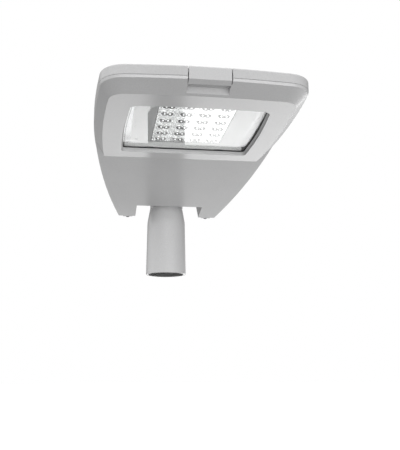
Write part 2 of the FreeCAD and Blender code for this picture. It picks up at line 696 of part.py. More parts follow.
trim_outer = rounded(D("trim_half"), trim_front, D("mod_rear") + 0.0 + 1.8, 9.0, D("trim_z"), trim_top - D("trim_z"), "trim")
trim_hollow = rounded(D("trim_half") - 1.4, trim_front + 1.4, D("mod_rear") + 0.6, 7.8, D("trim_z") + 1.2, 10.0, "trim_hollow")
trim_window = box(-D("mod_half") - D("mod_gap"), D("mod_half") + D("mod_gap"), D("mod_front") - D("mod_gap"),
                  D("mod_rear") + D("mod_gap"), D("trim_z") - 2, D("trim_z") + 30, "trim_window")
trim_posts = [rod(x, y, D("trim_z") + 0.6, 4.0, trim_top - D("trim_z") - 0.6, name="trim_post") for x, y in TRIM_SCREWS]
trim = cut(fuse(cut(trim_outer, trim_hollow), *trim_posts), trim_window, trim_shanks)
node(trim, "reflector_trim")

# ---------------------------------------------------------------- gear tray and what it carries

tray_top = D("tray_z") + D("tray_thick")
tray_shanks = screws("tray_screws", [(x, y, tray_top) for x, y in TRAY_POSTS], None, 3.8, 2.4, 2.0, 6.0, 1.8)
DRIVER = (-28.0, 97.0, -270.0, -194.0)
driver_tabs = [(DRIVER[0] + 6.0, DRIVER[3] + 5.0), (40.0, DRIVER[2] - 5.0)]
driver_shanks = screws("driver_screws", [(x, y, tray_top + 1.6) for x, y in driver_tabs], None, 3.4, 2.2, 2.0, 5.0, 1.6)
tray_plate = box(-D("tray_half"), D("tray_half"), -286.0, -92.0, D("tray_z"), tray_top, "tray")
tray_lip = box(-D("tray_half"), D("tray_half"), -93.5, -92.0, D("tray_z"), tray_top + 6, "tray_lip")
tray_window = box(-70.0, -20.0, -176.0, -128.0, 150.0, 200.0, "tray_window")
node(cut(fuse(tray_plate, tray_lip), tray_shanks, driver_shanks, tray_window), "gear_tray")

case = box(DRIVER[0], DRIVER[1], DRIVER[2], DRIVER[3], tray_top, tray_top + 31, "driver_case")
doc.recompute()
case_round = doc.addObject("Part::Fillet", "driver_round")
case_round.Base = case
case_round.Edges = [(i, 2.5, 2.5) for i, e in enumerate(case.Shape.Edges, start=1)
                    if not (e.Vertexes[0].Point.z < tray_top.number + 1 and e.Vertexes[-1].Point.z < tray_top.number + 1)]
tabs = [box(driver_tabs[0][0] - 6, driver_tabs[0][0] + 6, DRIVER[3] - 1, DRIVER[3] + 10, tray_top, tray_top + 1.6, "tab"),
        box(driver_tabs[1][0] - 6, driver_tabs[1][0] + 6, DRIVER[2] - 10, DRIVER[2] + 1, tray_top, tray_top + 1.6, "tab")]
node(cut(fuse(case_round, *tabs), driver_shanks), "driver")

TERM = (-98.0, -58.0, -262.0, -222.0)
term_base = box(TERM[0], TERM[1], TERM[2], TERM[3], tray_top, tray_top + 12, "terminal_low")
term_top = box(TERM[0] + 6, TERM[1] - 6, TERM[2], TERM[3], tray_top + 10, tray_top + 20, "terminal_high")
term_cuts = []
for i in range(3):
    y = TERM[2] + 8 + 12 * i
    for x in (TERM[0] - 1, TERM[1] - 7):
        term_cuts.append(box(x, x + 8, y - 3.5, y + 3.5, tray_top + 3.5, tray_top + 9.0, "wire_hole"))
    for x in (TERM[0] + 12, TERM[1] - 12):
        term_cuts.append(rod(x, y, tray_top + 15, 3.0, 10.0, name="screw_hole"))
node(cut(fuse(term_base, term_top), group(term_cuts)), "terminal_block")

surge = box(-14.0, 48.0, -176.0, -138.0, tray_top, tray_top + 26, "surge")
doc.recompute()
surge_round = doc.addObject("Part::Fillet", "surge_round")
surge_round.Base = surge
surge_round.Edges = [(i, 2.0, 2.0) for i, e in enumerate(surge.Shape.Edges, start=1)
                     if not (e.Vertexes[0].Point.z < tray_top.number + 1 and e.Vertexes[-1].Point.z < tray_top.number + 1)]
node(surge_round, "surge_protector")

# cable entry: grommet in the deck, saddle clamp before it
gx, gy = GROMMET
deck_low, deck_top = D("notch_roof_z"), D("rim_top_z")
grommet = cut(
    fuse(rod(gx, gy, deck_low - 2.5, 14.0, 2.5), rod(gx, gy, deck_low - 1, 11.0, deck_top - deck_low + 2),
         rod(gx, gy, deck_top, 14.0, 3.0)),
    rod(gx, gy, 170.0, 5.5, 50.0))
node(grommet, "cable_grommet")
# saddle clamp on the deck before the grommet
clamp_y0, clamp_y1 = -74.5, -63.5
clamp_mid = (clamp_y0 + clamp_y1) / 2
clamp_shanks = screws("clamp_screws", [(s * 16.0, clamp_mid, deck_top + 5.0) for s in (-1, 1)],
                      None, 3.4, 2.2, 2.0, 8.6, 1.6)
saddle = fuse(box(-21.0, 21.0, clamp_y0, clamp_y1, deck_top, deck_top + 5.0),
              box(-10.0, 10.0, clamp_y0, clamp_y1, deck_top, deck_top + 12.0))
node(cut(saddle, rod(0, clamp_y0 - 1, deck_top + 4.4, 5.4, 20.0, ALONG_Y), box(-5.4, 5.4, -80.0, -60.0, 190.0, deck_top + 4.4),
         clamp_shanks), "cable_clamp")

vent = cut(fuse(rod(VENT[0], VENT[1], deck_low - 3, 8.0, 3.0), rod(VENT[0], VENT[1], deck_low - 1, 5.0, deck_top - deck_low + 1)),
           rod(VENT[0], VENT[1], deck_low - 4, 1.5, 20.0))
node(vent, "pressure_vent")


def lead(points, bend, rad, x, y, z, rotation, name="lead"):
    """Round lead along straight lines joined by bends, in the sketch plane at (x, y, z)."""
    sk = doc.addObject("Sketcher::SketchObject", fresh(name + "_route"))
    place(sk, x, y, z, rotation)
    pts = [Vector(num(u), num(v), 0) for u, v in points]
    geo, start = [], pts[0]
    for i in range(1, len(pts) - 1):
        back, ahead = (pts[i - 1] - pts[i]).normalize(), (pts[i + 1] - pts[i]).normalize()
        half = back.getAngle(ahead) / 2
        reach = bend / math.tan(half)
        p, q = pts[i] + back * reach, pts[i] + ahead * reach
        mid = pts[i] + (back + ahead).normalize() * (bend / math.sin(half) - bend)
        geo += [Part.LineSegment(start, p), Part.Arc(p, mid, q)]
        start = q
    geo.append(Part.LineSegment(start, pts[-1]))
    sk.addGeometry(geo, False)
    sk.addConstraint([Sketcher.Constraint("Block", i) for i in range(len(geo))])
    ring = doc.addObject("Part::Circle", fresh(name + "_ring"))
    ring.Radius = rad
    turn_ = rotation or Rotation()
    heading = turn_.multVec(pts[1] - pts[0])
    ring.Placement = Placement(Vector(num(x), num(y), num(z)) + turn_.multVec(pts[0]),
                               Rotation(Vector(0, 0, 1), heading))
    doc.recompute()
    o = doc.addObject("Part::Sweep", fresh(name))
    o.Sections = [ring]
    o.Spine = (sk, ["Edge%d" % (i + 1) for i in range(len(geo))])
    o.Solid = True
    o.Frenet = False
    return o


wire_z = tray_top + 6.2
mains = [rod(TERM[1] - 6.5, TERM[2] + 8 + 12 * i, wire_z, 1.6, DRIVER[0] - TERM[1] + 6.5, ALONG_X, "lead") for i in range(3)]
node(group(mains), "driver_leads")
surge_leads = [
    lead([(-14.0, -152.0), (-70.0, -152.0), (-70.0, TERM[3])], 24.0, 1.6, 0, 0, wire_z, None),
    lead([(-14.0, -160.0), (-78.0, -160.0), (-78.0, TERM[3])], 24.0, 1.6, 0, 0, wire_z, None)]
node(group(surge_leads), "surge_leads")
carrier_top = carrier_z + D("carrier_thick")
plug_x, plug_y = 66.0, -306.0
plug = cut(box(plug_x - 8, plug_x + 8, plug_y - 16, plug_y, carrier_top, carrier_top + 11, "plug"),
           box(plug_x - 5.5, plug_x + 5.5, plug_y - 17, plug_y - 13, carrier_top + 3, carrier_top + 12, "latch_slot"))
node(plug, "led_connector")
node(lead([(DRIVER[2], 203.0), (-280.0, 203.0), (-292.0, 210.0), (plug_y, 210.0)], 8.0, 2.6, plug_x, 0, 0, SIDE), "led_lead")

# ---------------------------------------------------------------- lower body, finished

latch_y, latch_z = D("latch_y"), D("latch_z")
# bent spring strip behind the latch: its lip holds the latch's lip down
catch_wall = -606.6
catch_shanks = screws("catch_screws", [(s * 5.5, catch_wall - 0.8, 191.2) for s in (-1, 1)],
                      Rotation(Vector(1, 0, 0), 90), 1.7, 1.1, 1.0, 1.9, 0.8)
strip = cut(fuse(box(-9.0, 9.0, catch_wall - 0.8, catch_wall, 188.6, 193.4, "strip"),
                 box(-9.0, 9.0, catch_wall - 4.0, catch_wall - 0.4, 188.6, 189.4, "strip_lip")), catch_shanks)
node(strip, "catch_spring")

# hinge straps on the slanting rear faces
lug_y = D("lug_end_y")
root2 = math.sqrt(0.5)
hy, hz = D("hinge_y"), D("hinge_z")


def on_slope(s, out):
    return lug_y + (s + out) * root2, lug_z + (s - out) * root2


thick = D("strap_thick")
s_end = ((hy - lug_y) + (hz - lug_z)) * root2
strap_screw_rot = Rotation(Vector(1, 0, 0), -135)
strap_mid = (D("strap_in") + D("strap_out")) / 2
strap_places = []
for s in (-1, 1):
    for along in (7.0, 54.0):
        y, z = on_slope(along, thick)
        strap_places.append((strap_mid * s, y, z))
strap_shanks = screws("strap_screws", strap_places, strap_screw_rot, 4.0, 2.6, 2.5, 7.8, 2.0)
for s, side in ((-1, "left"), (1, "right")):
    x0 = D("strap_in") if s > 0 else -D("strap_out")
    wide = D("strap_out") - D("strap_in")
    leaf = side_slab([on_slope(2.0, 0.0), on_slope(2.0, thick), on_slope(s_end, thick), on_slope(s_end, 0.0)],
                     x0, x0 + wide, "leaf")
    strap = fuse(leaf, rod(x0, hy, hz, D("hinge_rad"), wide, ALONG_X, "barrel"))
    strap = cut(strap, rod(x0 - 1, hy, hz, D("pin_rad"), wide + 2, ALONG_X, "bore"), strap_shanks)
    node(strap, "hinge_strap_" + side)
pins = []
for s in (-1, 1):
    a, b = D("strap_in") - 17.6, D("strap_out") + 0.8
    pin = rod(a if s > 0 else -b, hy, hz, D("pin_rad"), b - a, ALONG_X, "pin")
    cap = rod(D("strap_out") if s > 0 else -(D("strap_out") + 1.6), hy, hz, 4.6, 1.6, ALONG_X, "pin_head")
    pins.append(fuse(pin, cap))
node(group(pins), "hinge_pins")

lower = cut(fuse(shell, *adds, name="lower"), fuse(*holes), bolt_bore, clip_shanks, post_shanks, tray_shanks,
            clamp_shanks, catch_shanks, strap_shanks, name="lower_body")
node(lower, "lower_body")

# ---------------------------------------------------------------- seal and top cover

seal = cut(prism(rim_outline(D("seal_z"), D("seal_out") + 0.2), 2.45, "seal_outer"),
           prism(rim_outline(D("seal_z") - 1, D("seal_in") - 0.2), 6.0, "seal_inner"))
node(seal, "cover_seal")

low, edge = D("cover_low_z"), D("cover_edge_z")
slab = prism(rim_outline(low, 0.0), edge - low, "cover_slab")
doc.recompute()
slab_round = doc.addObject("Part::Fillet", "cover_round")
slab_round.Base = slab
slab_round.Edges = [(i, 3.0, 3.0) for i, e in enumerate(slab.Shape.Edges, start=1)
                    if min(v.Point.z for v in e.Vertexes) > edge.number - 0.01]
doc.recompute()

# crowned roof: highest over the gear, falling to the rim all round
rise = D("dome_rise").number


def roof(x, y):
    along = 1 - ((-120 - y) / 494.0) ** 2 if y < -120 else 1 - ((y + 120) / 164.0) ** 4
    wide = D("rim_half").number - 3.6 - (y - D("rim_wide_y").number) ** 2 / 3520.0
    return edge.number + 0.05 + rise * along * (1 - (abs(x) / wide) ** 2.5)


rows = [[Vector(-168 + 12.0 * i, -632 + 17.0 * j, roof(-168 + 12.0 * i, -632 + 17.0 * j)) for j in range(41)]
        for i in range(29)]
skin = Part.BSplineSurface()
skin.interpolate(rows)
sheet = doc.addObject("Part::Feature", "roof_sheet")
sheet.Shape = skin.toShape()


def under_roof(down, name):
    s = doc.addObject("Part::Feature", fresh("sheet"))
    face = skin.toShape()
    face.translate(Vector(0, 0, -down))
    s.Shape = face
    o = doc.addObject("Part::Extrusion", fresh(name))
    o.Base = s
    o.DirMode = "Custom"
    o.Dir = Vector(0, 0, -1)
    o.LengthFwd = 70.0
    o.Solid = True
    return o


doc.removeObject("roof_sheet")
dome = common(prism(rim_outline(200.0, 3.6), 80.0, "dome_outline"), under_roof(0.0, "roof_solid"), name="dome")
inside = common(prism(rim_outline(203.0, 9.5), 80.0, "inside_outline"), under_roof(D("cover_wall").number, "inside_solid"),
                name="inside")
inside_low = prism(rim_outline(190.0, 18.5), 14.0, "inside_low")
channel = cut(prism(rim_outline(190.0, 3.2), 12.0, "channel"), prism(rim_outline(189.0, 8.0), 14.0, "channel_inner"))
hub = D("latch_gap")
boss = box(-hub - 9, hub + 9, -640.0, -600.0, 180.0, 250.0, "latch_boss")
gap = box(-hub, hub, -640.0, latch_y + 4.2, 150.0, 260.0, "latch_opening")
pin_bore = rod(-hub - 5, latch_y, latch_z, D("latch_pin"), hub * 2 + 10, ALONG_X, "latch_bore")
knuckles = []
for s in (-1, 1):
    a, b = D("strap_in") - 17.0, D("strap_in") - 0.4
    x0 = a if s > 0 else -b
    knuckles.append(rod(x0, hy, hz, D("hinge_rad"), b - a, ALONG_X, "knuckle"))
    knuckles.append(box(x0, x0 + (b - a), D("rim_rear_y") - 2, hy, hz - 2.3, hz + D("hinge_rad"), "knuckle_web"))
hinge_bore = group([rod((D("strap_in") - 18) if s > 0 else -(D("strap_in") + 1), hy, hz, D("pin_rad") + 0.05, 19.0, ALONG_X) for s in (-1, 1)])
hollow = cut(fuse(inside, inside_low, channel, name="cover_inside"), boss, name="cover_hollow")
cover = cut(fuse(slab_round, dome, name="cover_outer"), hollow, name="cover_shell")
cover = cut(fuse(cover, *knuckles), gap, pin_bore, hinge_bore, name="top_cover")
node(cover, "top_cover")

# ---------------------------------------------------------------- latch

lever = doc.addObject("PartDesign::Body", "lever")
half = D("latch_half")
plate_front, plate_rear = -617.8, -613.6
top_z = edge.number - 0.1
side = body_sketch(lever, "YZ_Plane", [(plate_front, 189.6), (plate_front, top_z), (plate_rear, top_z),
                                        (plate_rear, 191.5), (-612.0, 189.5), (-607.8, 189.3), (-607.8, 186.1)], "side")
plate_pad = pad(lever, side, half * 2, True, name="plate")
doc.recompute()
front_top = ["Edge%d" % i for i, e in enumerate(plate_pad.Shape.Edges, start=1)
             if all(abs(v.Point.y - plate_front) < 0.01 and abs(v.Point.z - top_z) < 0.01 for v in e.Vertexes)]
crown = lever.newObject("PartDesign::Fillet", "crown")
crown.Base = (plate_pad, front_top)
crown.Radius = 3.0
doc.recompute()
web = pad(lever, body_sketch(lever, "YZ_Plane", [(-615.0, latch_z - 3.8), (latch_y, latch_z - 3.8),
                                                 (latch_y, latch_z + 3.8), (-615.0, latch_z + 3.8)], "web"),
          half * 2, True, name="web")
barrel = pad(lever, body_sketch(lever, "YZ_Plane", [], "barrel", [(latch_y, latch_z, 3.8)]), half * 2, True, name="barrel")
doc.recompute()
catch_room = pad(lever, body_sketch(lever, "YZ_Plane", [(-611.4, 188.2), (-600.0, 188.2), (-600.0, 191.0), (-611.4, 191.0)],
                                    "catch_room"), 23.0, True, "PartDesign::Pocket", "catch_room")
doc.recompute()
spring_room = pad(lever, body_sketch(lever, "YZ_Plane", [(plate_rear, 196.0), (-600.0, 196.0), (-600.0, 212.0), (plate_rear, 212.0)],
                                     "spring_room"), 20.0, True, "PartDesign::Pocket", "spring_room")
doc.recompute()
lever_bore = pad(lever, body_sketch(lever, "YZ_Plane", [], "lever_bore", [(latch_y, latch_z, D("latch_pin") + 0.05)]),
                 80.0, True, "PartDesign::Pocket", "lever_bore")
lever.Tip = lever_bore
doc.recompute()
node(lever, "latch_lever")
node(rod(-hub - 5, latch_y, latch_z, D("latch_pin"), hub * 2 + 10, ALONG_X, "latch_rod"), "latch_pin")

helix = doc.addObject("Part::Helix", "coil_line")
helix.Radius = 3.1
helix.Pitch = 1.6
helix.Height = 16.0
place(helix, -8.0, latch_y, latch_z, ALONG_X)
wire = doc.addObject("Part::Circle", "coil_wire")
wire.Radius = 0.55
doc.recompute()
start = helix.Shape.Edges[0].valueAt(helix.Shape.Edges[0].FirstParameter)
tangent = helix.Shape.Edges[0].tangentAt(helix.Shape.Edges[0].FirstParameter)
wire.Placement = Placement(start, Rotation(Vector(0, 0, 1), tangent))
doc.recompute()
coil = doc.addObject("Part::Sweep", "coil")
coil.Sections = [wire]
coil.Spine = (helix, ["Edge%d" % (i + 1) for i in range(len(helix.Shape.Edges))])
coil.Solid = True
coil.Frenet = True
doc.recompute()
ends_z = latch_z - 3.1
legs = []
for x, reach in ((-8.0, -3.3), (8.0, 3.3)):
    run = rod(x, latch_y, ends_z, 0.55, abs(reach), ALONG_Y if reach > 0 else Rotation(Vector(1, 0, 0), 90), "leg")
    knee = doc.addObject("Part::Sphere", fresh("knee"))
    knee.Radius = 0.55
    place(knee, x, latch_y + reach, ends_z)
    legs += [run, knee, rod(x, latch_y + reach, 196.4, 0.55, ends_z - 196.4, None, "leg")]
node(fuse(coil, *legs, name="spring"), "latch_spring")

# ---------------------------------------------------------------- tilt bolt

rib_out = D("rib_out")
washers = [cut(rod(x, 0, D("pivot_z"), 12.0, 2.5, ALONG_X, "washer"), rod(x - 1, 0, D("pivot_z"), D("bolt_rad"), 5.0, ALONG_X))
           for x in (rib_out, -rib_out - 2.5)]
node(group(washers), "tilt_washers")


def hexagon_x(x, circum, length, name):
    h = doc.addObject("Part::Prism", fresh(name))
    h.Polygon = 6
    h.Circumradius = circum
    h.Height = length
    place(h, x, 0, D("pivot_z"), ALONG_X)
    return h


node(fuse(hexagon_x(-rib_out - 10.0, 10.4, 7.5, "bolt_head"),
          rod(-rib_out - 3.0, 0, D("pivot_z"), D("bolt_rad"), rib_out * 2 + 18.0, ALONG_X, "bolt")), "tilt_bolt")
node(cut(hexagon_x(rib_out + 2.5, 10.4, 10.0, "nut"),
         rod(rib_out, 0, D("pivot_z"), D("bolt_rad"), 20.0, ALONG_X)), "tilt_nut")

# ---------------------------------------------------------------- check and write

doc.recompute()
wrong = []
for obj in doc.Objects:
    if any(word in obj.State for word in ("Invalid", "Error")):
        wrong.append("%s: %s" % (obj.Name, obj.State))
for obj in NODES:
    shape = obj.Shape
    if shape.isNull() or not shape.isValid():
        wrong.append("%s: shape not valid" % obj.Label)
if wrong:
    raise RuntimeError("; ".join(wrong))
os.makedirs("parts", exist_ok=True)
for obj in NODES:
    obj.Shape.exportStep("parts/%s.step" % obj.Label)
    b = obj.Shape.BoundBox
    print("%-20s solids %3d  vol %10.0f  x %.1f %.1f  y %.1f %.1f  z %.1f %.1f" % (
        obj.Label, len(obj.Shape.Solids), obj.Shape.Volume, b.XMin, b.XMax, b.YMin, b.YMax, b.ZMin, b.ZMax))
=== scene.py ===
import json
import math

import bmesh
import bpy
from mathutils import Matrix, Vector


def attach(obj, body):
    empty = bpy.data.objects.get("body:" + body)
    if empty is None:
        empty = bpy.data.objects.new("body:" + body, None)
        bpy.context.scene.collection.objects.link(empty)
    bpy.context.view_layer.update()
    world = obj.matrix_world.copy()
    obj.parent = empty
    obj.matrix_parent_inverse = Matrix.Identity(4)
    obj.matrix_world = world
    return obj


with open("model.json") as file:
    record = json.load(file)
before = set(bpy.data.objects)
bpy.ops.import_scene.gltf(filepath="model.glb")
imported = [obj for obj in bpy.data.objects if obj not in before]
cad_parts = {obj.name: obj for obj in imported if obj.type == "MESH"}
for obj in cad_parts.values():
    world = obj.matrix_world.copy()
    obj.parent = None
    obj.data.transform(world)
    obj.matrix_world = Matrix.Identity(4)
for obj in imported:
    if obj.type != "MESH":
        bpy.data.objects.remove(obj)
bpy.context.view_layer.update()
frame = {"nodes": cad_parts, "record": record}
nodes = frame["nodes"]
scene = bpy.context.scene

# ---------------------------------------------------------------- camera

F_PX = 661.97
YAW, PITCH, ROLL = 0.148305, 0.196939, -0.005578
forward = Vector((math.sin(YAW) * math.cos(PITCH), math.cos(YAW) * math.cos(PITCH), math.sin(PITCH)))
right = Vector((math.cos(YAW), -math.sin(YAW), 0.0))
up = right.cross(forward)
right, up = (right * math.cos(ROLL) + up * math.sin(ROLL), up * math.cos(ROLL) - right * math.sin(ROLL))
cam_data = bpy.data.cameras.new("camera")
cam_data.sensor_width = 36.0
cam_data.lens = F_PX * 36.0 / 450.0
cam_data.clip_start, cam_data.clip_end = 0.05, 200.0
camera = bpy.data.objects.new("camera", cam_data)
camera.matrix_world = Matrix((
    (right.x, up.x, -forward.x, -0.139386),
    (right.y, up.y, -forward.y, -1.444785),
    (right.z, up.z, -forward.z, -0.177827),
    (0, 0, 0, 1)))
scene.collection.objects.link(camera)
scene.camera = camera

# ---------------------------------------------------------------- node helpers


class Graph:
    """A small wrapper round a shader node tree."""

    def __init__(self, tree):
        self.tree = tree
        self.x = 0

    def add(self, kind, **values):
        n = self.tree.nodes.new(kind)
        n.location = (self.x, 0)
        self.x += 180
        for key, value in values.items():
            setattr(n, key, value)
        return n

    def link(self, a, b):
        self.tree.links.new(a, b)

    def coords(self, scale=(1, 1, 1), rotation=(0, 0, 0), kind="Object"):
        t = self.add("ShaderNodeTexCoord")
        m = self.add("ShaderNodeMapping")
        m.inputs["Scale"].default_value = scale
        m.inputs["Rotation"].default_value = rotation
        self.link(t.outputs[kind], m.inputs["Vector"])
        return m.outputs["Vector"]

    def noise(self, vector, scale, detail=3.0, rough=0.5, distortion=0.0):
        n = self.add("ShaderNodeTexNoise")
        n.inputs["Scale"].default_value = scale
        n.inputs["Detail"].default_value = detail
        n.inputs["Roughness"].default_value = rough
        n.inputs["Distortion"].default_value = distortion
        self.link(vector, n.inputs["Vector"])
        return n.outputs["Fac"]

    def ramp(self, fac, stops):
        r = self.add("ShaderNodeValToRGB")
        e = r.color_ramp.elements
        while len(e) < len(stops):
            e.new(0.5)
        for el, (pos, colour) in zip(e, stops):
            el.position = pos
            el.color = colour if len(colour) == 4 else (*colour, 1.0)
        self.link(fac, r.inputs["Fac"])
        return r.outputs["Color"]

    def span(self, value, lo, hi, a=0.0, b=1.0):
        m = self.add("ShaderNodeMapRange")
        m.inputs["From Min"].default_value = lo
        m.inputs["From Max"].default_value = hi
        m.inputs["To Min"].default_value = a
        m.inputs["To Max"].default_value = b
        self.link(value, m.inputs["Value"])
        return m.outputs["Result"]

    def maths(self, op, a, b=None):
        m = self.add("ShaderNodeMath", operation=op)
        for i, v in enumerate((a, b)):
            if v is None:
                continue
            if isinstance(v, (int, float)):
                m.inputs[i].default_value = v
            else:
                self.link(v, m.inputs[i])
        return m.outputs["Value"]

    def mix(self, fac, a, b, blend="MIX"):
        m = self.add("ShaderNodeMix", data_type="RGBA", blend_type=blend)
        for key, v in ((0, fac), (6, a), (7, b)):
            if isinstance(v, (int, float)):
                m.inputs[key].default_value = v
            elif isinstance(v, tuple):
                m.inputs[key].default_value = v if len(v) == 4 else (*v, 1.0)
            else:
                self.link(v, m.inputs[key])
        return m.outputs[2]

    def bump(self, height, strength, distance, normal=None):
        b = self.add("ShaderNodeBump")
        b.inputs["Strength"].default_value = strength
        b.inputs["Distance"].default_value = distance
        self.link(height, b.inputs["Height"])
        if normal is not None:
            self.link(normal, b.inputs["Normal"])
        return b.outputs["Normal"]


def material(name):
    m = bpy.data.materials.new(name)
    m.use_nodes = True
    m.node_tree.nodes.clear()
    g = Graph(m.node_tree)
    out = g.add("ShaderNodeOutputMaterial")
    shader = g.add("ShaderNodeBsdfPrincipled")
    g.link(shader.outputs["BSDF"], out.inputs["Surface"])
    return m, g, shader


def grey(v):
    return (v, v, v)


def tint(colour, k):
    return tuple(min(1.0, c * k) for c in colour)


def painted(name, colour, rough=0.245, grain=1500.0, depth=0.00005):
    """Powder coat: fine grain, soft flow marks, a little uneven in shade and gloss."""
    m, g, s = material(name)
    c = g.coords()
    cloud = g.noise(c, 9.0, 4.0, 0.55)
    speck = g.noise(c, 560.0, 2.0, 0.6)
    shade = g.maths("ADD", g.maths("MULTIPLY", cloud, 0.35), g.maths("MULTIPLY", speck, 0.65))
    g.link(g.ramp(shade, [(0.34, tint(colour, 0.94)), (0.66, tint(colour, 1.06))]), s.inputs["Base Color"])
    g.link(g.span(g.noise(c, 40.0, 3.0), 0.3, 0.7, rough - 0.02, rough + 0.02), s.inputs["Roughness"])
    fine = g.noise(c, grain, 2.0, 0.55)
    flow = g.noise(c, 240.0, 2.0, 0.5)
    height = g.maths("ADD", g.maths("MULTIPLY", fine, 0.6), g.maths("MULTIPLY", flow, 0.6))
    g.link(g.bump(height, 0.32, depth), s.inputs["Normal"])
    s.inputs["IOR"].default_value = 1.5
    return m


def metal(name, colour, rough=0.3, scale=(1, 1, 1), grain=300.0, depth=0.00003):
    """Bare metal with drawn lines across the scaled axis and a cloudy shade."""
    m, g, s = material(name)
    c = g.coords(scale)
    lines = g.noise(c, grain, 3.0, 0.6)
    cloud = g.noise(g.coords(), 60.0, 3.0)
    g.link(g.ramp(cloud, [(0.3, tint(colour, 0.86)), (0.7, tint(colour, 1.06))]), s.inputs["Base Color"])
    g.link(g.span(lines, 0.3, 0.7, rough - 0.08, rough + 0.1), s.inputs["Roughness"])
    g.link(g.bump(lines, 0.25, depth), s.inputs["Normal"])
    s.inputs["Metallic"].default_value = 1.0
    return m


def spangled(name, colour, rough=0.34):
    """Galvanised sheet: flat crystals of differing shade and gloss."""
    m, g, s = material(name)
    c = g.coords()
    cell = g.add("ShaderNodeTexVoronoi")
    cell.inputs["Scale"].default_value = 130.0
    g.link(c, cell.inputs["Vector"])
    split = g.add("ShaderNodeSeparateColor")
    g.link(cell.outputs["Color"], split.inputs["Color"])
    g.link(g.ramp(split.outputs["Red"], [(0.0, tint(colour, 0.80)), (1.0, tint(colour, 1.12))]), s.inputs["Base Color"])
    g.link(g.span(split.outputs["Green"], 0.0, 1.0, rough - 0.08, rough + 0.12), s.inputs["Roughness"])
    g.link(g.bump(g.noise(c, 420.0, 2.0), 0.2, 0.00003), s.inputs["Normal"])
    s.inputs["Metallic"].default_value = 1.0
    return m


def plastic(name, colour, rough=0.45, grain=1100.0, depth=0.00004, vary=0.05):
    m, g, s = material(name)
    c = g.coords()
    cloud = g.noise(c, 26.0, 3.0, 0.5)
    g.link(g.ramp(cloud, [(0.3, tint(colour, 1 - vary)), (0.7, tint(colour, 1 + vary))]), s.inputs["Base Color"])
    g.link(g.span(g.noise(c, 90.0, 2.0), 0.3, 0.7, rough - 0.05, rough + 0.06), s.inputs["Roughness"])
    g.link(g.bump(g.noise(c, grain, 2.0), 0.3, depth), s.inputs["Normal"])
    return m


def clear(name, colour, rough, ior, wave=0.0):
    m, g, s = material(name)
    c = g.coords()
    s.inputs["Transmission Weight"].default_value = 1.0
    s.inputs["IOR"].default_value = ior
    g.link(g.ramp(g.noise(c, 12.0, 2.0), [(0.3, tint(colour, 0.99)), (0.7, colour)]), s.inputs["Base Color"])
    g.link(g.span(g.noise(c, 30.0, 3.0), 0.35, 0.65, rough, rough + 0.012), s.inputs["Roughness"])
    if wave:
        g.link(g.bump(g.noise(c, 30.0, 2.0), 0.1, wave), s.inputs["Normal"])
    return m


def rubber(name, colour, rough=0.75):
    m, g, s = material(name)
    c = g.coords()
    g.link(g.ramp(g.noise(c, 70.0, 4.0), [(0.3, tint(colour, 0.8)), (0.7, tint(colour, 1.5))]), s.inputs["Base Color"])
    g.link(g.span(g.noise(c, 200.0, 2.0), 0.3, 0.7, rough - 0.08, rough + 0.08), s.inputs["Roughness"])
    g.link(g.bump(g.noise(c, 1600.0, 2.0), 0.4, 0.00005), s.inputs["Normal"])
    s.inputs["Specular IOR Level"].default_value = 0.15
    return m


def board_material(name):
    """White solder mask over faint copper tracks, with a painted glow and painted glints: the board gives off light in
    bright noise spots though it is no lamp.
    """
    m, g, s = material(name)
    c = g.coords()
    brick = g.add("ShaderNodeTexBrick")
    brick.inputs["Scale"].default_value = 1.0
    brick.inputs["Brick Width"].default_value = 0.0298
    brick.inputs["Row Height"].default_value = 0.0149
    brick.inputs["Mortar Size"].default_value = 0.0006
    brick.inputs["Color1"].default_value = (1, 1, 1, 1)
    brick.inputs["Color2"].default_value = (1, 1, 1, 1)
    brick.inputs["Mortar"].default_value = (0, 0, 0, 1)
    g.link(c, brick.inputs["Vector"])
    g.link(g.mix(g.span(brick.outputs["Fac"], 0, 1, 0.0, 0.35), (0.86, 0.86, 0.845), (0.66, 0.69, 0.64)), s.inputs["Base Color"])
    g.link(g.bump(brick.outputs["Fac"], 0.3, 0.00008), s.inputs["Normal"])
    g.link(g.span(g.noise(c, 300.0), 0.3, 0.7, 0.3, 0.4), s.inputs["Roughness"])
    # painted glints and painted glow: emission in noise spots stands in for sparkle in the lens plate above
    painted_glint = g.noise(c, 215.0, 2.0, 0.5, 0.8)
    g.link(g.ramp(painted_glint, [(0.43, grey(0.28)), (0.52, grey(0.55)), (0.59, grey(1.0))]), s.inputs["Emission Color"])
    s.inputs["Emission Strength"].default_value = 1.35
    m.cycles.emission_sampling = "NONE"
    return m


def chip_material(name):
    """Phosphor under a thin clear coat, faintly lit."""
    m = plastic(name, (0.84, 0.70, 0.26), 0.35)
    s = [n for n in m.node_tree.nodes if n.type == "BSDF_PRINCIPLED"][0]
    s.inputs["Coat Weight"].default_value = 0.6
    s.inputs["Emission Color"].default_value = (1.0, 0.985, 0.95, 1.0)
    s.inputs["Emission Strength"].default_value = 2.0
    m.cycles.emission_sampling = "NONE"
    return m


def highlight_bead_material(name):
    """Silicone dome over a chip: milky, with a painted glow that puts a highlight in the lens lobe above it."""
    m = plastic(name, (0.92, 0.92, 0.90), 0.2)
    s = [n for n in m.node_tree.nodes if n.type == "BSDF_PRINCIPLED"][0]
    s.inputs["Emission Color"].default_value = (1.0, 1.0, 0.99, 1.0)
    s.inputs["Emission Strength"].default_value = 1.3
    m.cycles.emission_sampling = "NONE"
    return m


def glowing_apron_material(name):
    """White plastic with a painted glow that stands in for the light of the board beside it."""
    m = plastic(name, (0.88, 0.88, 0.875), 0.4, vary=0.02)
    s = [n for n in m.node_tree.nodes if n.type == "BSDF_PRINCIPLED"][0]
    s.inputs["Emission Color"].default_value = (1.0, 1.0, 0.99, 1.0)
    # painted light: the plastic glows though it is no lamp
    s.inputs["Emission Strength"].default_value = 0.3
    m.cycles.emission_sampling = "NONE"
    return m


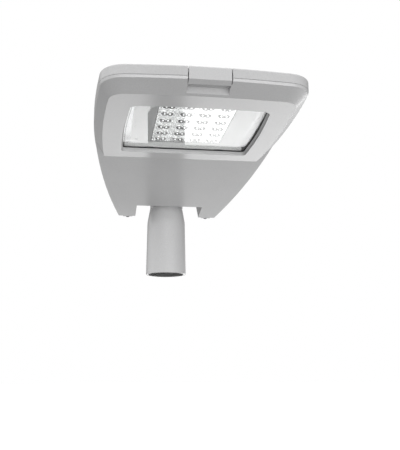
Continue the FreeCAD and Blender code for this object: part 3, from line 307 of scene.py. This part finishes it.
def lens_material(name):
    """Clear moulded plate: fine prismatic texture between the lobes."""
    m = clear(name, (0.985, 0.99, 0.99), 0.02, 1.49)
    g = Graph(m.node_tree)
    s = [n for n in m.node_tree.nodes if n.type == "BSDF_PRINCIPLED"][0]
    c = g.coords()
    cell = g.add("ShaderNodeTexVoronoi", feature="SMOOTH_F1")
    cell.inputs["Scale"].default_value = 330.0
    g.link(c, cell.inputs["Vector"])
    height = g.maths("ADD", cell.outputs["Distance"], g.maths("MULTIPLY", g.noise(c, 520.0, 2.0), 0.8))
    g.link(g.bump(height, 0.12, 0.0003), s.inputs["Normal"])
    return m


PAINT = (0.60, 0.60, 0.603)
paint = painted("paint", PAINT)
# the top cover gets a darker copy of the paint: painted shade that dims its front band
shaded_cover_paint = painted("shaded_cover_paint", tint(PAINT, 0.945))
looks = {
    "paint": paint,
    "steel": metal("steel", (0.60, 0.60, 0.61), 0.3),
    "dark_steel": metal("dark_steel", (0.16, 0.16, 0.165), 0.42),
    "spring_steel": metal("spring_steel", (0.55, 0.55, 0.57), 0.25, (1, 1, 8)),
    "glass": clear("glass", (0.965, 0.975, 0.972), 0.0, 1.52),
    "black_rubber": rubber("black_rubber", (0.014, 0.014, 0.014)),
    "grey_rubber": rubber("grey_rubber", (0.12, 0.12, 0.12)),
    "bare_aluminium": metal("bare_aluminium", (0.72, 0.72, 0.73), 0.38, (1, 12, 1), 500.0),
    "board": board_material("board"),
    "phosphor": chip_material("phosphor"),
    "lens": lens_material("lens"),
    "white_plastic": plastic("white_plastic", (0.88, 0.88, 0.875), 0.4, vary=0.02),
    "zinc_plate": spangled("zinc_plate", (0.60, 0.61, 0.62)),
    "driver_case": plastic("driver_case", (0.66, 0.66, 0.655), 0.4),
    "orange_case": plastic("orange_case", (0.62, 0.20, 0.04), 0.38),
    "terminal": plastic("terminal", (0.70, 0.70, 0.66), 0.42),
    "black_plastic": plastic("black_plastic", (0.03, 0.03, 0.03), 0.5, vary=0.2),
    "lead_brown": rubber("lead_brown", (0.12, 0.045, 0.02), 0.5),
    "lead_blue": rubber("lead_blue", (0.03, 0.07, 0.28), 0.5),
    "lead_black": rubber("lead_black", (0.025, 0.025, 0.025), 0.5),
}
slot_of = {row["node"]: row["material_slot"] for row in frame["record"]["subparts"]}
for name, obj in nodes.items():
    look = shaded_cover_paint if name == "top_cover" else looks[slot_of[name]]
    if not obj.material_slots:
        obj.data.materials.append(look)
    for slot in obj.material_slots:
        slot.material = look

# ---------------------------------------------------------------- soft edges


def creases():
    """Geometry nodes: smooth faces, with every edge that turns more than the curved faces' steps kept sharp."""
    tree = bpy.data.node_groups.new("creases", "GeometryNodeTree")
    tree.interface.new_socket("Geometry", in_out="INPUT", socket_type="NodeSocketGeometry")
    tree.interface.new_socket("Geometry", in_out="OUTPUT", socket_type="NodeSocketGeometry")
    g = Graph(tree)
    start = g.add("NodeGroupInput")
    plain = g.add("GeometryNodeRemoveAttribute")
    plain.inputs["Name"].default_value = "custom_normal"
    g.link(start.outputs[0], plain.inputs["Geometry"])
    smooth = g.add("GeometryNodeSetShadeSmooth", domain="FACE")
    g.link(plain.outputs["Geometry"], smooth.inputs["Geometry"])
    turn = g.add("GeometryNodeInputMeshEdgeAngle")
    steep = g.add("FunctionNodeCompare", data_type="FLOAT", operation="GREATER_THAN")
    steep.inputs[1].default_value = math.radians(9.6)
    g.link(turn.outputs["Unsigned Angle"], steep.inputs[0])
    sharp = g.add("GeometryNodeSetShadeSmooth", domain="EDGE")
    g.link(smooth.outputs["Geometry"], sharp.inputs["Geometry"])
    g.link(steep.outputs["Result"], sharp.inputs["Selection"])
    sharp.inputs["Shade Smooth"].default_value = False
    end = g.add("NodeGroupOutput")
    g.link(sharp.outputs["Geometry"], end.inputs[0])
    return tree


CREASES = creases()


def soften(name, width, segments=2, angle=40.0, flat=0.6):
    """Small cast radii on a CAD node's sharp edges."""
    obj = nodes[name]
    weld = obj.modifiers.new("weld", "WELD")
    weld.merge_threshold = 0.00001
    first = obj.modifiers.new("creases", "NODES")
    first.node_group = CREASES
    plane = obj.modifiers.new("plane", "DECIMATE")
    plane.decimate_type = "DISSOLVE"
    plane.angle_limit = math.radians(flat)
    plane.delimit = {"SHARP"}
    bevel = obj.modifiers.new("bevel", "BEVEL")
    bevel.width = width
    bevel.segments = segments
    bevel.limit_method = "ANGLE"
    bevel.angle_limit = math.radians(angle)
    bevel.harden_normals = True
    bevel.use_clamp_overlap = True
    bevel.miter_outer = "MITER_ARC"


for name, width in (("lower_body", 0.0008), ("spigot_sleeve", 0.001), ("latch_lever", 0.0003),
                    ("hinge_strap_left", 0.0005), ("hinge_strap_right", 0.0005), ("gear_tray", 0.0004),
                    ("terminal_block", 0.0006), ("cable_clamp", 0.0008), ("cable_grommet", 0.0008),
                    ("led_connector", 0.0005), ("tilt_washers", 0.0004), ("tilt_nut", 0.0006), ("tilt_bolt", 0.0006),
                    ("reflector_trim", 0.0004), ("window_gasket", 0.0003)):
    soften(name, width)

# ---------------------------------------------------------------- small pieces


def piece(name, build, look, body):
    """New mesh from a bmesh builder, painted and fixed to a CAD body."""
    mesh = bpy.data.meshes.new(name)
    bm = bmesh.new()
    build(bm)
    bmesh.ops.recalc_face_normals(bm, faces=bm.faces)
    bm.to_mesh(mesh)
    bm.free()
    mesh.materials.append(look)
    obj = bpy.data.objects.new(name, mesh)
    scene.collection.objects.link(obj)
    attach(obj, body)
    return obj


def block(bm, low, high, bevel=0.0):
    """Box between two corners in millimetres, its edges broken."""
    part = bmesh.ops.create_cube(bm, size=1.0)["verts"]
    size = [(b - a) / 1000 for a, b in zip(low, high)]
    mid = [(a + b) / 2000 for a, b in zip(low, high)]
    bmesh.ops.transform(bm, matrix=Matrix.Translation(mid) @ Matrix.Diagonal((*size, 1.0)), verts=part)
    if bevel:
        edges = list({e for v in part for e in v.link_edges})
        bmesh.ops.bevel(bm, geom=edges, offset=bevel / 1000, segments=2, affect="EDGES", profile=0.5)


def ball(bm, x, y, z, rx, ry, rz, around=14, down=7):
    """Ellipsoid round a point in millimetres."""
    rings = []
    for j in range(1, down):
        t = math.pi * j / down
        rings.append([bm.verts.new(((x + rx * math.sin(t) * math.cos(a)) / 1000, (y + ry * math.sin(t) * math.sin(a)) / 1000,
                                    (z + rz * math.cos(t)) / 1000)) for a in (2 * math.pi * i / around for i in range(around))])
    top, low = bm.verts.new((x / 1000, y / 1000, (z + rz) / 1000)), bm.verts.new((x / 1000, y / 1000, (z - rz) / 1000))
    for i in range(around):
        k = (i + 1) % around
        faces = [bm.faces.new((top, rings[0][i], rings[0][k])), bm.faces.new((low, rings[-1][k], rings[-1][i]))]
        faces += [bm.faces.new((one[i], two[i], two[k], one[k])) for one, two in zip(rings, rings[1:])]
        for f in faces:
            f.smooth = True


PITCH_MM, FIRST_Y, LENS_Z = 29.8, -503.5, 197.4
CELLS = [((i - 1.5) * PITCH_MM, FIRST_Y + j * PITCH_MM) for i in range(4) for j in range(6)]


def beads(bm):
    for x, y in CELLS:
        for side in (-1, 1):
            ball(bm, x + side * 4.2, y - 0.4, LENS_Z - 1.1, 1.25, 1.25, 1.0)


def pegs(bm):
    for x, y in CELLS:
        for dx, dy, r in ((-11.4, -6.4, 1.3), (11.4, -6.4, 1.3), (-11.4, 6.4, 1.3), (11.4, 6.4, 1.3),
                          (0.0, -8.6, 1.5), (0.0, 8.6, 1.5), (-13.2, 0.0, 1.0), (13.2, 0.0, 1.0)):
            ball(bm, x + dx, y + dy, LENS_Z + 0.1, r, r, 1.5)


# black strips round the lens plate: a painted shadow for the gap between plate and trim
def gap_shadow_line(bm):
    a, b, y0, y1 = 59.6, 61.0, -518.8, -339.2
    for low, high in (((-b, y0), (-a, y1)), ((a, y0), (b, y1)), ((-a, y0), (a, y0 + 1.4)), ((-a, y1 - 1.4), (a, y1))):
        block(bm, (*low, 196.84), (*high, 197.38))


def apron(bm):
    block(bm, (-95.5, -338.1, 195.7), (95.5, -313.9, 196.8), 0.3)
    block(bm, (-106.0, -315.0, 193.3), (106.0, -313.9, 200.2), 0.3)


def window_line():
    """The gasket's inner outline on its lowest face, as points in order."""
    mesh = nodes["window_gasket"].data
    floor_z = min(v.co.z for v in mesh.vertices)
    pairs = set()
    for face in mesh.polygons:
        points = [mesh.vertices[i].co for i in face.vertices]
        if face.normal.z < -0.99 and all(p.z < floor_z + 0.00003 for p in points):
            keys = [(round(p.x * 1e5), round(p.y * 1e5)) for p in points]
            pairs.update(zip(keys, keys[1:] + keys[:1]))
    after = {a: b for a, b in pairs if (b, a) not in pairs}
    loops = []
    while after:
        line = [min(after)]
        while line[-1] in after:
            line.append(after.pop(line[-1]))
        loops.append([Vector((x / 1e5, y / 1e5)) for x, y in line[:-1]])
    return min(loops, key=lambda line: max(p.x for p in line))


def border(start, end):
    """Builder of a thin dark band on the glass's lower face, laid as painted shade, between two distances from the
    gasket in millimetres.
    """
    line = window_line()
    middle = sum(line, Vector((0.0, 0.0))) / len(line)

    def build(bm):
        rings = []
        for far, z in ((start, 186.57), (end, 186.57), (end, 186.42), (start, 186.42)):
            ring = []
            for i, p in enumerate(line):
                a, b = line[i - 1], line[(i + 1) % len(line)]
                along = (b - a).normalized()
                inward = Vector((-along.y, along.x))
                if inward.dot(middle - p) < 0:
                    inward.negate()
                q = p + inward * far / 1000
                ring.append(bm.verts.new((q.x, q.y, z / 1000)))
            rings.append(ring)
        for one, two in zip(rings, rings[1:] + rings[:1]):
            for i in range(len(line)):
                k = (i + 1) % len(line)
                bm.faces.new((one[i], one[k], two[k], two[i]))

    return build


# black band along the gasket: a painted shadow where the glass meets the frame
piece("glass_shadow_band", border(0.0, 1.3), plastic("black_painted_shadow", (0.03, 0.03, 0.03), 0.4, vary=0.15), "housing")
# grey line further in: painted shade of the step at the recess edge
piece("glass_shade_line", border(3.4, 3.95), plastic("grey_painted_shade", (0.20, 0.20, 0.20), 0.4, vary=0.1), "housing")
# the beads glow as painted highlights, one in each lens lobe
piece("lens_highlight_beads", beads, highlight_bead_material("bead"), "housing")
piece("lens_pegs", pegs, looks["lens"], "housing")
# painted shadow in the gap round the lens plate
piece("lens_gap_shadow", gap_shadow_line, looks["black_rubber"], "housing")
piece("trim_apron", apron, glowing_apron_material("apron"), "housing")

# ---------------------------------------------------------------- stage

FLOOR_Z = -1.35


def staged(name, rings, colour_of):
    """Round stage piece from (radius, height) rings, closed to its axis at both ends."""
    mesh = bpy.data.meshes.new(name)
    bm = bmesh.new()
    loops = []
    for radius, height in rings:
        loops.append([bm.verts.new((radius * math.cos(a), radius * math.sin(a), height))
                      for a in (2 * math.pi * i / 96 for i in range(96))])
    for low, high in zip(loops, loops[1:]):
        for i in range(96):
            bm.faces.new((low[i], low[(i + 1) % 96], high[(i + 1) % 96], high[i])).smooth = True
    bm.faces.new(loops[-1])
    if len(loops) > 1:
        bm.faces.new(loops[0][::-1])
    bm.to_mesh(mesh)
    bm.free()
    obj = bpy.data.objects.new(name, mesh)
    scene.collection.objects.link(obj)
    m, g, s = material(name)
    colour_of(g, s)
    mesh.materials.append(m)
    return obj


def pale(g, s):
    length = g.add("ShaderNodeVectorMath", operation="LENGTH")
    g.link(g.coords(), length.inputs[0])
    far = g.span(length.outputs["Value"], 1.4, 7.0)
    g.link(g.ramp(far, [(0.0, grey(0.86)), (1.0, grey(1.0))]), s.inputs["Base Color"])
    g.link(g.ramp(far, [(0.0, grey(0.0)), (1.0, grey(1.0))]), s.inputs["Emission Color"])
    s.inputs["Emission Strength"].default_value = 0.2
    s.inputs["Roughness"].default_value = 1.0
    s.inputs["Specular IOR Level"].default_value = 0.0


floor = staged("floor", [(30.0, FLOOR_Z)], pale)
floor.visible_diffuse = floor.visible_glossy = floor.visible_transmission = floor.visible_shadow = False


def dark(g, s):
    g.link(g.ramp(g.noise(g.coords(), 6.0), [(0.3, grey(0.33)), (0.7, grey(0.37))]), s.inputs["Base Color"])
    s.inputs["Roughness"].default_value = 0.5


# a grey flag hangs under the sleeve: it is never seen itself, it only shades the gloss of the underside
flag = staged("flag", [(0.038, FLOOR_Z + 0.095), (0.038, -0.005)], dark)
flag.visible_camera = flag.visible_transmission = False

# soft light from all round: broad glows at (bearing, height), each with its width and strength
GLOWS = [
    (0, -35, 14, 0.40), (45, -35, 14, 0.78), (0, -14, 24, 1.42), (30, -14, 24, 3.38), (150, -14, 24, 2.99),
    (180, -14, 24, 4.00), (210, -14, 24, 1.44), (150, 8, 24, 0.60), (270, 8, 24, 1.27), (300, 8, 24, 0.69),
    (240, 32, 10, 0.84), (300, 32, 10, 0.86), (0, 65, 7, 0.44), (120, 65, 7, 0.80), (240, 65, 7, 0.32), (0, 90, 6, 0.80),
]
EVEN = 0.16

world = bpy.data.worlds.new("studio")
scene.world = world
world.use_nodes = True
world.node_tree.nodes.clear()
g = Graph(world.node_tree)
way = g.add("ShaderNodeTexCoord")
unit = g.add("ShaderNodeVectorMath", operation="NORMALIZE")
g.link(way.outputs["Generated"], unit.inputs[0])
total = None
for bearing, height, width, strength in GLOWS:
    b, h = math.radians(bearing), math.radians(height)
    toward = g.add("ShaderNodeVectorMath", operation="DOT_PRODUCT")
    g.link(unit.outputs["Vector"], toward.inputs[0])
    toward.inputs[1].default_value = (math.sin(b) * math.cos(h), math.cos(b) * math.cos(h), math.sin(h))
    fall = g.maths("MULTIPLY", g.maths("SUBTRACT", toward.outputs["Value"], 1.0), float(width))
    glow = g.maths("MULTIPLY", g.maths("EXPONENT", fall), strength)
    total = g.maths("ADD", glow, EVEN if total is None else total)
light = g.add("ShaderNodeBackground")
light.inputs["Color"].default_value = (1, 1, 1, 1)
g.link(total, light.inputs["Strength"])
white = g.add("ShaderNodeBackground")
white.inputs["Color"].default_value = (1, 1, 1, 1)
white.inputs["Strength"].default_value = 1.0
seen = g.add("ShaderNodeLightPath")
pick = g.add("ShaderNodeMixShader")
out = g.add("ShaderNodeOutputWorld")
g.link(seen.outputs["Is Camera Ray"], pick.inputs["Fac"])
g.link(light.outputs["Background"], pick.inputs[1])
g.link(white.outputs["Background"], pick.inputs[2])
g.link(pick.outputs["Shader"], out.inputs["Surface"])

scene.view_settings.view_transform = "Standard"
scene.view_settings.look = "None"
